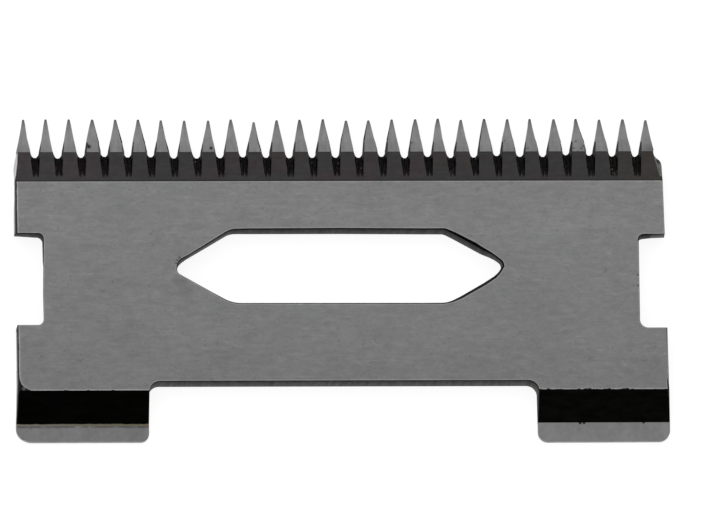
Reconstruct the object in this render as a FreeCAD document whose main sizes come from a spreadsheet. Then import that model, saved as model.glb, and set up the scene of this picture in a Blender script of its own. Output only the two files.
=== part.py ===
"""Hair clipper blade: the toothed steel plate that slides to and fro behind the fixed comb.

Frame: millimetres, +Z up. The origin is on the sliding face, under the middle of the plate.
+X runs along the row of teeth and +Y points to the tooth tips. The plate lies on its sliding
face with its bevelled side up. All sizes are in the sheet called Sizes.
"""
import FreeCAD, Part
import math
import os
import Sketcher

os.makedirs("parts", exist_ok=True)
doc = FreeCAD.newDocument("ClipperBlade")

# Two places closer than this many millimetres are taken as the same.
NEAR = 1e-3

# Driving sizes in millimetres. Every one is set here and nowhere else.
SIZES = {
    # The blank, whose width comes from the row of teeth
    "overall_length": 20.1,
    "plate_thickness": 1.5,
    # The tooth row
    "tooth_count": 28,
    "tooth_pitch": 1.411,
    "tooth_row_shift": 0.16,
    "tooth_tip_width": 0.14,
    "tooth_tip_round": 0.05,
    "tooth_tip_thickness": 0.33,
    # The front grinds, from the tips backwards
    "tip_grind_length": 2.13,
    "tip_grind_height": 0.65,
    "tip_grind_radius": 19.0,
    "bevel_length": 2.04,
    # The gaps between the teeth
    "gap_depth": 2.43,
    "gap_root_round": 0.224,
    "ramp_front_depth": 1.88,
    "ramp_length": 2.135,
    "ramp_rear_width": 0.32,
    "end_shoulder_round": 0.36,
    # The drive slot, with its rear edge measured from the rear edge of the plate
    "slot_height": 4.62,
    "slot_length": 20.4,
    "slot_straight_length": 13.0,
    "slot_from_rear": 4.865,
    "slot_tip_round": 0.3,
    "slot_corner_round": 0.8,
    # The notches in the two sides
    "notch_depth": 1.62,
    "notch_length": 5.76,
    "notch_from_rear": 3.46,
    "notch_round": 0.5,
    # The two feet behind the plate
    "foot_length": 3.47,
    "foot_gap_width": 23.64,
    "foot_flare": 0.11,
    "foot_top_length": 0.555,
    "foot_slope_length": 1.815,
    "foot_pad_height": 0.4,
    "foot_end_height": 0.36,
    "foot_gap_round": 0.65,
    "foot_outer_round": 0.9,
    "foot_inner_round": 0.55,
    # The shallow relief across the sliding face
    "relief_depth": 0.2,
    "relief_front_land": 1.6,
    "relief_rear_land": 1.0,
    # How far a cut runs out past the metal
    "cut_margin": 1.0,
}

# Places worked out from the driving sizes, as formulas of the sheet.
DERIVED = {
    "plate_width": "=tooth_count * tooth_pitch",
    "tip_y": "=overall_length / 2",
    "rear_end_y": "=-overall_length / 2",
    "rear_edge_y": "=rear_end_y + foot_length",
    "grind_line_y": "=tip_y - tip_grind_length",
    "bevel_start_y": "=grind_line_y - bevel_length",
    "gap_root_y": "=tip_y - gap_depth",
    "gap_mouth_width": "=tooth_pitch - tooth_tip_width",
    "gap_flank_slope": "=(gap_mouth_width / 2 - gap_root_round) / (gap_depth - gap_root_round)",
    "ramp_front_y": "=tip_y - ramp_front_depth",
    "ramp_rear_y": "=ramp_front_y - ramp_length",
    "ramp_front_width": "=gap_mouth_width - 2 * ramp_front_depth * gap_flank_slope",
    "first_gap_x": "=-tooth_row_shift - tooth_count / 2 * tooth_pitch",
    "last_gap_x": "=first_gap_x + plate_width",
    "shoulder_x": "=last_gap_x - gap_root_round",
    "slot_rear_y": "=rear_edge_y + slot_from_rear",
    "slot_front_y": "=slot_rear_y + slot_height",
    "slot_middle_y": "=slot_rear_y + slot_height / 2",
    "notch_rear_y": "=rear_edge_y + notch_from_rear",
    "notch_front_y": "=notch_rear_y + notch_length",
    "slope_start_y": "=rear_edge_y - foot_top_length",
    "pad_start_y": "=slope_start_y - foot_slope_length",
    "relief_front_y": "=gap_root_y - relief_front_land",
    "relief_rear_y": "=rear_edge_y + relief_rear_land",
}

sheet = doc.addObject("Spreadsheet::Sheet", "Sizes")
for row, (alias, value) in enumerate(list(SIZES.items()) + list(DERIVED.items()), start=1):
    sheet.set("A%d" % row, alias)
    sheet.set("B%d" % row, str(value))
    sheet.setAlias("B%d" % row, alias)
doc.recompute()


def size(alias):
    """The present value of one named size."""
    return float(sheet.get(alias))


# Helpers for sketches and features

def origin_plane(body, role):
    """One of the body's own three base planes."""
    return next(item for item in body.Origin.OriginFeatures if item.Role == role)


def new_sketch(body, name, role):
    """A sketch on one of the body's base planes."""
    sketch = body.newObject("Sketcher::SketchObject", name)
    sketch.AttachmentSupport = [(origin_plane(body, role), "")]
    sketch.MapMode = "FlatFace"
    doc.recompute()
    return sketch


def bind(sketch, kind, references, formula):
    """Adds one dimension to a sketch and ties it to a formula of the sheet."""
    value = sketch.evalExpression(formula)
    number = sketch.addConstraint(Sketcher.Constraint(kind, *references, float(value)))
    sketch.setExpression("Constraints[%d]" % number, formula)


def place_point(sketch, line, end, x_formula, y_formula):
    """Places one end of a line from the sketch's origin."""
    bind(sketch, "DistanceX", (-1, 1, line, end), x_formula)
    bind(sketch, "DistanceY", (-1, 1, line, end), y_formula)


def arc_between(start, end, radius):
    """A shallow arc from one point to another that bulges to the right of the way it goes."""
    chord = end - start
    half_chord = chord.Length / 2
    rise = radius - math.sqrt(radius ** 2 - half_chord ** 2)
    sideways = FreeCAD.Vector(chord.y, -chord.x, 0).normalize()
    return Part.Arc(start, (start + end) / 2 + sideways * rise, end)


def polygon(sketch, corners, arcs=None):
    """A closed outline through corners given as formulas. Its sides are straight lines, apart
    from those in arcs, which gives the radius alias of each arc by the number of its side."""
    arcs = arcs or {}
    points = [FreeCAD.Vector(float(sketch.evalExpression(x)), float(sketch.evalExpression(y)), 0)
              for x, y in corners]
    first = sketch.GeometryCount
    total = len(points)
    for index in range(total):
        start = points[index]
        end = points[(index + 1) % total]
        if index in arcs:
            side = arc_between(start, end, size(arcs[index]))
        else:
            side = Part.LineSegment(start, end)
        sketch.addGeometry(side, False)
    for index in range(total):
        following = first + (index + 1) % total
        sketch.addConstraint(Sketcher.Constraint("Coincident", first + index, 2, following, 1))
    for index, (x_formula, y_formula) in enumerate(corners):
        place_point(sketch, first + index, 1, x_formula, y_formula)
    for index, radius_alias in arcs.items():
        bind(sketch, "Radius", (first + index,), "Sizes." + radius_alias)


def pocket(body, sketch):
    """Cuts right through the body, both ways from the sketch, and checks that metal went."""
    before = body.Tip.Shape.Volume
    feature = body.newObject("PartDesign::Pocket", sketch.Name + "Cut")
    feature.Profile = sketch
    feature.Type = "ThroughAll"
    feature.Midplane = True
    doc.recompute()
    if not feature.Shape.Volume < before:
        raise RuntimeError("%s removes nothing" % feature.Name)
    return feature


def upright_edges(shape, places):
    """Names of the upright edges that stand at the given places in plan."""
    names = []
    for x, y in places:
        for number, edge in enumerate(shape.Edges, start=1):
            bounds = edge.BoundBox
            upright = bounds.XLength < NEAR and bounds.YLength < NEAR and bounds.ZLength > NEAR
            if upright and abs(bounds.XMin - x) < NEAR and abs(bounds.YMin - y) < NEAR:
                names.append("Edge%d" % number)
    if len(names) != len(places):
        raise RuntimeError("expected %d upright edges, found %d" % (len(places), len(names)))
    return names


def round_corners(body, name, places, radius_alias):
    """Rounds upright edges of the body by a radius from the sheet."""
    base = body.Tip
    feature = body.newObject("PartDesign::Fillet", name)
    feature.Base = (base, upright_edges(base.Shape, places))
    feature.setExpression("Radius", "Sizes." + radius_alias)
    doc.recompute()


def both_sides(places):
    """The same places on the left and on the right."""
    return places + [(-x, y) for x, y in places]


body = doc.addObject("PartDesign::Body", "CutterBlade")
body.Label = "cutter_blade"

# The stamped blank: a plain plate whose feet spread a little where they are coined.
half = "Sizes.plate_width / 2"
flared = "Sizes.plate_width / 2 + Sizes.foot_flare"
blank = new_sketch(body, "BlankOutline", "XY_Plane")
polygon(blank, [
    ("-(%s)" % half, "Sizes.tip_y"),
    ("-(%s)" % half, "Sizes.rear_edge_y"),
    ("-(%s)" % flared, "Sizes.pad_start_y"),
    ("-(%s)" % flared, "Sizes.rear_end_y"),
    (flared, "Sizes.rear_end_y"),
    (flared, "Sizes.pad_start_y"),
    (half, "Sizes.rear_edge_y"),
    (half, "Sizes.tip_y"),
])
plate = body.newObject("PartDesign::Pad", "Plate")
plate.Profile = blank
plate.setExpression("Length", "Sizes.plate_thickness")
doc.recompute()

# The space between the two feet, open to the rear.
foot_gap = new_sketch(body, "FootGap", "XY_Plane")
inner_foot = "Sizes.foot_gap_width / 2"
past_rear = "Sizes.rear_end_y - Sizes.cut_margin"
polygon(foot_gap, [
    ("-(%s)" % inner_foot, "Sizes.rear_edge_y"),
    ("-(%s)" % inner_foot, past_rear),
    (inner_foot, past_rear),
    (inner_foot, "Sizes.rear_edge_y"),
])
pocket(body, foot_gap)
foot_inner_x = size("foot_gap_width") / 2
foot_outer_x = size("plate_width") / 2 + size("foot_flare")
round_corners(body, "FootGapRound", both_sides([(foot_inner_x, size("rear_edge_y"))]), "foot_gap_round")
round_corners(body, "FootInnerRound", both_sides([(foot_inner_x, size("rear_end_y"))]), "foot_inner_round")
round_corners(body, "FootOuterRound", both_sides([(foot_outer_x, size("rear_end_y"))]), "foot_outer_round")

# The square notch in each side.
notch_inner = "Sizes.plate_width / 2 - Sizes.notch_depth"
past_side = "Sizes.plate_width / 2 + Sizes.cut_margin"
for side, name in ((-1, "LeftNotch"), (1, "RightNotch")):
    notch = new_sketch(body, name, "XY_Plane")
    polygon(notch, [
        ("%d * (%s)" % (side, notch_inner), "Sizes.notch_front_y"),
        ("%d * (%s)" % (side, past_side), "Sizes.notch_front_y"),
        ("%d * (%s)" % (side, past_side), "Sizes.notch_rear_y"),
        ("%d * (%s)" % (side, notch_inner), "Sizes.notch_rear_y"),
    ])
    pocket(body, notch)
notch_inner_x = size("plate_width") / 2 - size("notch_depth")
notch_corners = [(notch_inner_x, size("notch_front_y")), (notch_inner_x, size("notch_rear_y"))]
round_corners(body, "NotchRound", both_sides(notch_corners), "notch_round")

# The long six-sided slot that the drive works in.
slot = new_sketch(body, "DriveSlot", "XY_Plane")
slot_end = "Sizes.slot_length / 2"
slot_flat = "Sizes.slot_straight_length / 2"
polygon(slot, [
    ("-(%s)" % slot_end, "Sizes.slot_middle_y"),
    ("-(%s)" % slot_flat, "Sizes.slot_rear_y"),
    (slot_flat, "Sizes.slot_rear_y"),
    (slot_end, "Sizes.slot_middle_y"),
    (slot_flat, "Sizes.slot_front_y"),
    ("-(%s)" % slot_flat, "Sizes.slot_front_y"),
])
pocket(body, slot)
slot_flat_x = size("slot_straight_length") / 2
slot_corners = [(slot_flat_x, size("slot_rear_y")), (slot_flat_x, size("slot_front_y"))]
round_corners(body, "SlotCornerRound", both_sides(slot_corners), "slot_corner_round")
slot_tips = [(size("slot_length") / 2, size("slot_middle_y"))]
round_corners(body, "SlotTipRound", both_sides(slot_tips), "slot_tip_round")

# The front of the plate in side view: a plain bevel, then the hollow-ground tooth tips.
# In this plane the sketch's own x is the frame's Y and its y is the frame's Z.
above = "Sizes.plate_thickness + Sizes.cut_margin"
front = new_sketch(body, "FrontGrind", "YZ_Plane")
past_tip = "Sizes.tip_y + Sizes.cut_margin"
polygon(front, [
    ("Sizes.bevel_start_y", "Sizes.plate_thickness"),
    ("Sizes.grind_line_y", "Sizes.tip_grind_height"),
    ("Sizes.tip_y", "Sizes.tooth_tip_thickness"),
    (past_tip, "Sizes.tooth_tip_thickness"),
    (past_tip, above),
    ("Sizes.bevel_start_y", above),
], arcs={1: "tip_grind_radius"})
pocket(body, front)

# The rear of the feet in side view: a coined slope down to a low ground pad.
rear = new_sketch(body, "FootSlope", "YZ_Plane")
polygon(rear, [
    ("Sizes.slope_start_y", "Sizes.plate_thickness"),
    ("Sizes.pad_start_y", "Sizes.foot_pad_height"),
    ("Sizes.rear_end_y", "Sizes.foot_end_height"),
    (past_rear, "Sizes.foot_end_height"),
    (past_rear, above),
    ("Sizes.slope_start_y", above),
])
pocket(body, rear)

# The relief under the plate, so that only a front strip and a rear strip rub on the comb.
relief = new_sketch(body, "SlidingFaceRelief", "YZ_Plane")
polygon(relief, [
    ("Sizes.relief_front_y", "-Sizes.cut_margin"),
    ("Sizes.relief_front_y", "Sizes.relief_depth"),
    ("Sizes.relief_rear_y", "Sizes.relief_depth"),
    ("Sizes.relief_rear_y", "-Sizes.cut_margin"),
])
pocket(body, relief)

# The row stands off centre, which leaves a shoulder beside the last tooth.
shoulder = new_sketch(body, "EndShoulder", "XY_Plane")
polygon(shoulder, [
    ("Sizes.shoulder_x", "Sizes.gap_root_y"),
    (past_side, "Sizes.gap_root_y"),
    (past_side, past_tip),
    ("Sizes.shoulder_x", past_tip),
])
pocket(body, shoulder)
shoulder_corner = [(size("plate_width") / 2, size("gap_root_y"))]
round_corners(body, "EndShoulderRound", shoulder_corner, "end_shoulder_round")

# The tooth gaps. In plan each is a wide V with a round root, cut right through the plate.
gap_outline = new_sketch(body, "GapOutline", "XY_Plane")
gap_middle = size("first_gap_x")
mouth_half = size("gap_mouth_width") / 2
root_round = size("gap_root_round")
root_centre = FreeCAD.Vector(gap_middle, size("gap_root_y") + root_round, 0)
left_mouth = FreeCAD.Vector(gap_middle - mouth_half, size("tip_y"), 0)
right_mouth = FreeCAD.Vector(gap_middle + mouth_half, size("tip_y"), 0)
left_root = root_centre + FreeCAD.Vector(-root_round, 0, 0)
right_root = root_centre + FreeCAD.Vector(root_round, 0, 0)
root_circle = Part.Circle(root_centre, FreeCAD.Vector(0, 0, 1), root_round)
mouth, left_flank, root, right_flank = range(4)
gap_outline.addGeometry(Part.LineSegment(right_mouth, left_mouth), False)
gap_outline.addGeometry(Part.LineSegment(left_mouth, left_root), False)
gap_outline.addGeometry(Part.ArcOfCircle(root_circle, math.pi, 2 * math.pi), False)
gap_outline.addGeometry(Part.LineSegment(right_root, right_mouth), False)
gap_outline.addConstraint(Sketcher.Constraint("Coincident", mouth, 2, left_flank, 1))
gap_outline.addConstraint(Sketcher.Constraint("Coincident", right_flank, 2, mouth, 1))
gap_outline.addConstraint(Sketcher.Constraint("Tangent", left_flank, 2, root, 1))
gap_outline.addConstraint(Sketcher.Constraint("Tangent", root, 2, right_flank, 1))
place_point(gap_outline, mouth, 1, "Sizes.first_gap_x + Sizes.gap_mouth_width / 2", "Sizes.tip_y")
place_point(gap_outline, mouth, 2, "Sizes.first_gap_x - Sizes.gap_mouth_width / 2", "Sizes.tip_y")
bind(gap_outline, "Radius", (root,), "Sizes.gap_root_round")
place_point(gap_outline, root, 3, "Sizes.first_gap_x", "Sizes.gap_root_y + Sizes.gap_root_round")
gap_cut = pocket(body, gap_outline)

# Behind its root each gap runs out up the bevel as a ramp that narrows to the rear.
ramp = body.newObject("PartDesign::SubtractiveWedge", "GapRamp")
ramp_formulas = {
    "Ymin": "Sizes.ramp_rear_y",
    "Ymax": "Sizes.ramp_front_y",
    "Xmin": "Sizes.first_gap_x - Sizes.ramp_rear_width / 2",
    "Xmax": "Sizes.first_gap_x + Sizes.ramp_rear_width / 2",
    "X2min": "Sizes.first_gap_x - Sizes.ramp_front_width / 2",
    "X2max": "Sizes.first_gap_x + Sizes.ramp_front_width / 2",
    "Zmin": "Sizes.plate_thickness",
    "Zmax": above,
    "Z2min": "0",
    "Z2max": above,
}
for name, formula in ramp_formulas.items():
    ramp.setExpression(name, formula)
doc.recompute()

gap_row = body.newObject("PartDesign::LinearPattern", "ToothRow")
gap_row.Originals = [gap_cut, ramp]
gap_row.Direction = (gap_outline, ["H_Axis"])
gap_row.setExpression("Length", "Sizes.plate_width")
gap_row.setExpression("Occurrences", "Sizes.tooth_count + 1")
before_row = body.Tip.Shape.Volume
body.Tip = gap_row
doc.recompute()
if not body.Shape.Volume < before_row:
    raise RuntimeError("the tooth gaps remove nothing")

# The two corners of each tooth tip are rounded off.
first_tooth_x = size("first_gap_x") + size("tooth_pitch") / 2
tip_half = size("tooth_tip_width") / 2
tooth_centres = [first_tooth_x + number * size("tooth_pitch") for number in range(round(size("tooth_count")))]
tip_corners = [(centre + side * tip_half, size("tip_y")) for centre in tooth_centres for side in (-1, 1)]
round_corners(body, "ToothTipRound", tip_corners, "tooth_tip_round")

# Checks, then the hand-over file.
for item in doc.Objects:
    if "Invalid" in item.State or "Error" in item.State:
        raise RuntimeError("%s failed: %s" % (item.Name, item.State))
shape = body.Shape
if shape.isNull() or not shape.isValid() or len(shape.Solids) != 1:
    raise RuntimeError("the blade is not one valid solid")
box = shape.BoundBox
print("size %.3f x %.3f x %.3f mm, volume %.2f mm3, faces %d" % (
    box.XLength, box.YLength, box.ZLength, shape.Volume, len(shape.Faces)))
shape.exportStep("parts/%s.step" % body.Label)
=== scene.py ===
# %% [markdown]
# # The moving blade of a hair clipper
# The real part is one stamped plate of hardened steel, about 40 mm wide and 1.5 mm thick. It lies
# flat on the clipper's fixed comb and is driven to and fro, so that its teeth shear the hair.
# This lesson builds it in the order in which it is made: the blank is punched, its feet are
# pressed down, its faces are ground, and the gaps between the teeth are ground last.
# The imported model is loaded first, because it says how large the blade is and where it lies.

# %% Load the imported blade
import math
import random

import bmesh
import bpy
from mathutils import Matrix, Vector


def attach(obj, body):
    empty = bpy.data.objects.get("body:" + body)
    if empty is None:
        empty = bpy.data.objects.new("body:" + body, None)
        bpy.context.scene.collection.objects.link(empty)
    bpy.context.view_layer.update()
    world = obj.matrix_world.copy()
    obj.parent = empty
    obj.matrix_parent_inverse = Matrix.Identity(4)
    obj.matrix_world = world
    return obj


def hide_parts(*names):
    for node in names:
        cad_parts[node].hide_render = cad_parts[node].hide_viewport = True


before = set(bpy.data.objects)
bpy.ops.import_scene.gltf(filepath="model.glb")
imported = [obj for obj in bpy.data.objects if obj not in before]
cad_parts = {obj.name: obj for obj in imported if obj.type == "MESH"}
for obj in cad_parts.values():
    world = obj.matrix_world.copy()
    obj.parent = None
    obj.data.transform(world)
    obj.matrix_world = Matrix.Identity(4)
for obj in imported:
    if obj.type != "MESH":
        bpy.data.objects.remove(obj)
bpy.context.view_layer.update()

NODE = "cutter_blade"

# %% [markdown]
# ## Camera
# The photograph looks down on the blade with a long lens, 14 degrees off square towards the feet
# and 5 degrees towards the left. The lens could be set by eye, but the plate's straight edges
# give it: the camera's place, its length of lens and its small roll were fitted to them.

# %% Place the camera
MM = 0.001
SENSOR_WIDTH = 36.0
LENS = 524.4
CAMERA_DISTANCE = 0.631
CAMERA_ROLL = -0.0016
aim = Vector((0.945, 0.76, 0.75)) * MM
toward_camera = Vector((-0.0827, -0.2354, 0.9684)).normalized()

level_right = (Vector((1, 0, 0)) - toward_camera * toward_camera.x).normalized()
level_up = toward_camera.cross(level_right)
right = level_right * math.cos(CAMERA_ROLL) + level_up * math.sin(CAMERA_ROLL)
up = level_up * math.cos(CAMERA_ROLL) - level_right * math.sin(CAMERA_ROLL)

camera_data = bpy.data.cameras.new("camera")
camera_data.sensor_width = SENSOR_WIDTH
camera_data.lens = LENS
camera_data.clip_start = 0.05
camera_data.clip_end = 20
camera = bpy.data.objects.new("camera", camera_data)
turn = Matrix((right, up, toward_camera)).transposed().to_4x4()
camera.matrix_world = Matrix.Translation(aim + toward_camera * CAMERA_DISTANCE) @ turn
bpy.context.scene.collection.objects.link(camera)
bpy.context.scene.camera = camera
print("camera at", [round(value, 4) for value in camera.matrix_world.translation])

# %% [markdown]
# ## Small tools for materials
# Every finish here is a Principled surface whose colour comes from noise in the blade's own
# coordinates. A few helpers keep those networks short. A socket knows which node tree it belongs
# to, so most helpers need nothing but the sockets that they work on.

# %% Helpers for materials
WHITE = (1.0, 1.0, 1.0, 1.0)


def set_inputs(node, values):
    """Gives a node's sockets their values, by a link where a value comes out of another node."""
    for name, value in values.items():
        if isinstance(value, bpy.types.NodeSocket):
            node.id_data.links.new(value, node.inputs[name])
        else:
            node.inputs[name].default_value = value


def add_node(kind, inputs, tree=None, **settings):
    """Adds a node and sets its sockets and its plain properties.

    It goes into the given tree, or else into the tree of the sockets among its inputs.
    """
    linked = [value for value in inputs.values() if isinstance(value, bpy.types.NodeSocket)]
    node = (tree or linked[0].id_data).nodes.new(kind)
    for name, value in settings.items():
        setattr(node, name, value)
    set_inputs(node, inputs)
    return node


def noise(place, stretch, detail=3.0, offset=0.0):
    """Noise whose grain is so many bumps a metre along X, Y and Z."""
    moved = add_node("ShaderNodeMapping", {"Vector": place, "Scale": stretch,
                                           "Location": (offset, offset, offset)})
    texture = add_node("ShaderNodeTexNoise", {
        "Vector": moved.outputs["Vector"], "Scale": 1.0, "Detail": detail, "Roughness": 0.6})
    return texture.outputs["Fac"]


def turned(place, degrees):
    """The same coordinates turned about Z."""
    node = add_node("ShaderNodeMapping", {"Vector": place, "Rotation": (0, 0, math.radians(degrees))})
    return node.outputs["Vector"]


def fade(value, low, high, bottom=0.0, top=1.0):
    """Turns a value that runs from low to high into one from bottom to top."""
    node = add_node("ShaderNodeMapRange", {
        "Value": value, "From Min": low, "From Max": high, "To Min": bottom, "To Max": top})
    return node.outputs["Result"]


def falling(value, low, high):
    """One up to low, and from there down to nought at high."""
    return fade(value, low, high, 1.0, 0.0)


def blend(amount, first, second):
    """A colour between two colours."""
    node = add_node("ShaderNodeMix", {"Factor": amount, "A": first, "B": second}, data_type="RGBA")
    return node.outputs["Result"]


def arithmetic(operation, first, second):
    """One sum on two values."""
    return add_node("ShaderNodeMath", {0: first, 1: second}, operation=operation).outputs["Value"]


def either(first, second):
    """The larger of two values."""
    return arithmetic("MAXIMUM", first, second)


print("helpers ready")

# %% [markdown]
# ## Floor and light
# The blade was photographed on white, so the floor is white too and fades into a white
# surrounding. The floor mostly glows with plain white, and a part of it is matt paint that keeps
# the thin shadow round the plate. The same white is what the steel mirrors. Scattered light gets
# none of the floor's glow and only part of the room's, or it would wash the shadow out.

# %% Make the floor
FLOOR_SIZE = 3.0
FLOOR_GLOW = 0.88
FLOOR_GREY = (0.2, 0.2, 0.2, 1.0)


def seen_plainly(tree):
    """One for what the camera sees, directly or mirrored, and nought for scattered light."""
    rays = add_node("ShaderNodeLightPath", {}, tree).outputs
    return either(either(rays["Is Camera Ray"], rays["Is Glossy Ray"]), rays["Is Transmission Ray"])


floor_mesh = bpy.data.meshes.new("floor")
floor_mesh.from_pydata([(x * FLOOR_SIZE / 2, y * FLOOR_SIZE / 2, 0)
                        for x, y in ((-1, -1), (1, -1), (1, 1), (-1, 1))], [], [(0, 1, 2, 3)])
floor = bpy.data.objects.new("floor", floor_mesh)
bpy.context.scene.collection.objects.link(floor)

floor_paint = bpy.data.materials.new("floor_white")
floor_paint.use_nodes = True
floor_tree = floor_paint.node_tree
set_inputs(floor_tree.nodes["Principled BSDF"], {
    "Base Color": FLOOR_GREY, "Roughness": 0.9, "Specular IOR Level": 0.0, "Emission Color": WHITE,
    "Emission Strength": arithmetic("MULTIPLY", seen_plainly(floor_tree), FLOOR_GLOW)})
floor_mesh.materials.append(floor_paint)
print("floor", FLOOR_SIZE, "m wide")

# %% Light the scene
SKY_LIGHT = 0.6
world = bpy.data.worlds.new("white_room")
bpy.context.scene.world = world
world.use_nodes = True
sky_tree = world.node_tree
set_inputs(sky_tree.nodes["Background"], {
    "Color": WHITE, "Strength": fade(seen_plainly(sky_tree), 0.0, 1.0, SKY_LIGHT, 1.0)})

LAMP_SIZE = 1.2
LAMP_POWER = 5.6
lamp_data = bpy.data.lights.new("soft_box", "AREA")
lamp_data.shape = "SQUARE"
lamp_data.size = LAMP_SIZE
lamp_data.energy = LAMP_POWER
lamp = bpy.data.objects.new("soft_box", lamp_data)
lamp.location = (-0.35, 0.45, 1.0)
lamp.rotation_euler = (-lamp.location).to_track_quat("-Z", "Y").to_euler()
lamp.visible_glossy = False
bpy.context.scene.collection.objects.link(lamp)
bpy.context.scene.view_settings.view_transform = "Standard"
print("one soft box of", LAMP_POWER, "W and a white room")

# %% [markdown]
# ## The blank
# The plate is punched from strip, so from above it is one outline: two feet behind, a square
# notch in each side, and the row of teeth in front. An outline of corners, each with the radius
# that rounds it, is the plainest way to say this. Each corner also says how far the punch rolled
# the upper edge over, and how far the wall leans, because a punched wall is never quite upright.

# %% Sizes of the plate
THICKNESS = 1.5
HALF_WIDTH = 19.754
FOOT_HALF_WIDTH = 19.864
TIP_Y = 10.055
REAR_Y = -10.05
REAR_EDGE_Y = -6.58
FOOT_INNER_X = 11.82
SLOPE_START_Y = -7.135
PAD_START_Y = -8.95
LEFT_LINE = 19.79
LEFT_LEAN = 0.04
ROLLED_EDGE = 0.07
GROUND_RIM = 0.055
PAD_ROLL = 0.0
print("plate", 2 * HALF_WIDTH, "mm wide and", THICKNESS, "mm thick")

# %% Corners, arcs and rounding
CORNER, ROUND, ROLL, LEAN, RIM, SHIFT, WALL = range(7)


def corner(x, y, rounding=0.0, roll=ROLLED_EDGE, lean=0.0, rim=GROUND_RIM, shift=(0.0, 0.0),
           wall="punched_wall"):
    """One corner of an outline.

    It says how round the corner is, how wide the rolled edge and the bright rim are, how far the
    wall's top leans into the metal, how far it is shifted along X and Y, and the wall's zone.
    """
    return (Vector((x, y)), rounding, roll, lean, rim, Vector(shift), wall)


def rounded_outline(corners, steps=8):
    """Replaces each corner that has a radius by an arc that passes its edge on to its neighbours."""
    points = []
    for index, item in enumerate(corners):
        here = item[CORNER]
        if not item[ROUND]:
            points.append(item)
            continue
        neighbours = (corners[index - 1], corners[(index + 1) % len(corners)])
        before, after = [(other[CORNER] - here).normalized() for other in neighbours]
        half_angle = before.angle(after) / 2
        middle = here + (before + after).normalized() * item[ROUND] / math.sin(half_angle)
        reach = item[ROUND] / math.tan(half_angle)
        start = here + before * reach - middle
        sweep = start.angle_signed(here + after * reach - middle)
        for step in range(steps + 1):
            rotated = start.copy()
            rotated.rotate(Matrix.Rotation(-sweep * step / steps, 2))
            nearer = neighbours[0] if step < steps / 2 else neighbours[1]
            share = abs(1 - 2 * step / steps) * reach / (nearer[CORNER] - here).length
            edge = [own + (other - own) * share
                    for own, other in zip(item[ROLL:WALL], nearer[ROLL:WALL])]
            points.append((middle + rotated, 0.0, *edge, item[WALL]))
    return points


print("a corner holds", corner(0.0, 0.0))

# %% [markdown]
# ## The row of teeth
# Each gap is a V, and three rounded corners make its root: one on either side and one below. A
# tooth's flank runs from there to its tip. Placing the gaps rather than the teeth keeps
# neighbours in step, as the grinding wheel does. The real row isn't perfect: no two teeth lean or
# bulge quite alike, one is short, and some flanks keep the scale on their upper edge. These faults
# are what make the row look ground rather than drawn, so each tooth has its own line in a table.

# %% Sizes of the row
TOOTH_COUNT = 28
PITCH = 1.411
ROW_SHIFT = 0.16
TIP_WIDTH = 0.125
TIP_ROUND = 0.055
ROOT_Y = 7.64
ROOT_HALF_WIDTH = 0.25
ROOT_RISE = 0.22
ROOT_SIDE_ROUND = 0.3
ROOT_FOLLOWS = 0.6
ROOT_POINT = -0.08
ROOT_POINT_ROUND = 0.13
GRIND_SKEW = 0.00095
FIRST_GAP_X = -ROW_SHIFT - TOOTH_COUNT / 2 * PITCH
LAST_GAP_X = FIRST_GAP_X + TOOTH_COUNT * PITCH
print("first gap at", round(FIRST_GAP_X, 3), "mm and last at", round(LAST_GAP_X, 3), "mm")

# %% The teeth, one by one from the left
# All in hundredths of a millimetre: how far the tip stands to the right, how far it falls short,
# and how far the left flank and then the right flank bulge near the root, half way and near the tip.
BULGE_PLACES = (0.1, 0.45, 0.8)
TOOTH_FORMS = [
    (3, -2, 0, -2, -2, 0, -5, -1),
    (-2, -4, 3, -1, 0, -6, -5, -1),
    (-2, -4, 5, 2, 1, -2, -2, 0),
    (0, -3, 6, 7, 4, 9, 5, 2),
    (-1, -2, 5, 1, -1, 12, 7, 2),
    (-3, -2, 3, 5, 1, 10, 4, 2),
    (-5, 3, 5, 0, -1, 1, -4, -1),
    (-3, 5, 4, 1, 1, -5, -5, -2),
    (2, 5, 6, 3, 0, 1, -3, -1),
    (-1, -2, 4, 2, 2, 0, 0, 1),
    (-2, 15, 9, 5, 0, -1, -4, -2),
    (-3, 3, 8, 4, 2, 0, 0, 0),
    (-4, 0, 6, 4, 2, 0, -2, 1),
    (-2, -3, 8, 4, 2, 4, 1, -1),
    (-2, 6, 4, 7, 1, -3, -2, 1),
    (-6, 5, 3, 8, 3, 4, 0, 1),
    (-4, -1, 6, 6, 1, -2, -3, -1),
    (-1, -2, 6, 5, 4, 0, -1, 1),
    (-4, -6, 4, 3, 4, -6, -6, 0),
    (-4, 2, 9, 4, 2, 0, -3, -1),
    (-2, -4, 4, 4, 2, 4, 0, 1),
    (-1, -2, 5, 5, 1, 5, -1, -1),
    (-5, -3, 3, 0, -2, 3, -3, -2),
    (1, -1, 5, 2, 1, 9, 4, 2),
    (-5, -3, 3, 0, -2, 17, 7, 1),
    (-2, 2, 2, 0, -1, 7, 1, 0),
    (1, 0, 2, 2, 2, 2, -1, 2),
    (1, 6, 2, 2, 0, 1, -1, 0),
]
# How far each gap's root is ground less deep, also in hundredths, from the second gap on.
ROOT_RISES = [1, -3, 2, 7, 2, 4, -4, -4, -2, 3, 0, -3, -1, -1, 0, 5, -5, 5, -3, -1, 10, 4, 3, 15, 9,
              5, 4]
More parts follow.
